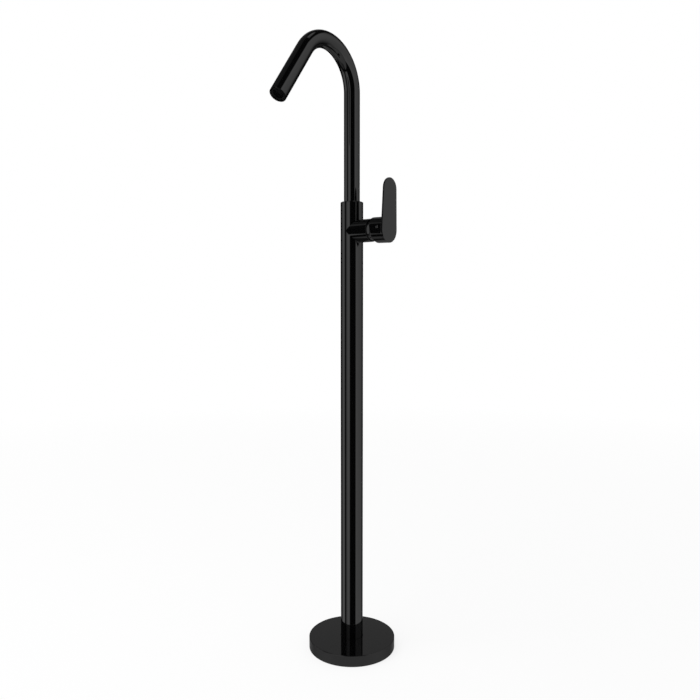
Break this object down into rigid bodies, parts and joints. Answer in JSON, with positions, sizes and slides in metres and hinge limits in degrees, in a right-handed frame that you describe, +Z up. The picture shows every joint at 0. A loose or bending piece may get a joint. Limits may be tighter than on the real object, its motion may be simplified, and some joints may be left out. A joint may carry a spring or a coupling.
{
  "type": "floor-standing basin mixer",
  "caption": "Tall gloss black floor-standing basin mixer: straight column on a round floor cover, swivelling hooked spout and a paddle lever on a short side barrel.",
  "frame": {"origin": "on the column's axis, on the underside of the floor flange, at floor level", "axes": "+Z up along the column, the spout reaches towards -Y, the lever's barrel points towards +X"},
  "size_m": [0.1601, 0.2785, 1.077],
  "materials": {
    "gloss_black": "gloss",
    "brass": "turned",
    "steel": "satin",
    "braided_hose": "braided",
    "seal_rubber": "matt",
    "ceramic": "lapped",
    "grey_plastic": "moulded",
    "white_plastic": "moulded",
    "black_plastic": "gloss"
  },
  "bodies": {
    "stand": {"floor_flange": "brass", "column_screws": "steel", "column_tube": "gloss_black", "side_barrel": "gloss_black", "valve_body": "brass", "body_lock_screw": "steel", "hot_hose": "braided_hose", "cold_hose": "braided_hose", "hot_hose_fittings": "brass", "cold_hose_fittings": "brass", "cartridge_housing": "brass", "housing_screws": "steel", "body_seals": "seal_rubber", "cartridge_base": "grey_plastic", "port_seals": "seal_rubber", "fixed_disc": "ceramic", "cartridge_shell": "grey_plastic", "cartridge_nut": "brass", "dome_cover": "gloss_black", "outlet_nipple": "brass", "nipple_seals": "seal_rubber", "spout_socket": "brass", "collar_ring": "gloss_black", "spout_stop_screw": "steel", "glide_ring": "white_plastic"},
    "cover": {"floor_cover": "gloss_black", "cover_seal": "seal_rubber"},
    "spout": {"spout_root": "brass", "spout_seals": "seal_rubber", "spout_tube": "gloss_black", "aerator_sleeve": "gloss_black", "aerator_gasket": "seal_rubber", "aerator_ring": "black_plastic", "aerator_core": "black_plastic", "aerator_mesh": "black_plastic"},
    "rotor": {"cartridge_rotor": "white_plastic", "rotor_seal": "seal_rubber", "stem_pin": "steel"},
    "disc": {"disc_carrier": "white_plastic", "moving_disc": "ceramic"},
    "lever": {"lever_stem": "brass", "lever_handle": "gloss_black", "lever_set_screw": "steel", "lever_plug": "gloss_black"}
  },
  "joints": [
    {"name": "spout_swivel", "type": "hinge", "parent": "stand", "child": "spout", "pos_m": [0, 0, 0.79], "axis": [0, 0, 1], "range_deg": [-60, 60]},
    {"name": "cover_lift", "type": "slide", "parent": "stand", "child": "cover", "axis": [0, 0, 1], "range_m": [0, 0.15]},
    {"name": "lever_swing", "type": "hinge", "parent": "stand", "child": "rotor", "pos_m": [0.031, 0, 0.7545], "axis": [1, 0, 0], "range_deg": [-45, 45]},
    {"name": "lever_tilt", "type": "hinge", "parent": "rotor", "child": "lever", "pos_m": [0.031, 0, 0.7545], "axis": [0, 1, 0], "range_deg": [0, 20]},
    {"name": "disc_slide", "type": "slide", "parent": "rotor", "child": "disc", "axis": [0, 0, 1], "range_m": [0, 0.0016]}
  ],
  "couplings": [
    {"joint": "disc_slide", "follows": "lever_tilt", "m_per_rad": 0.00445}
  ]
}
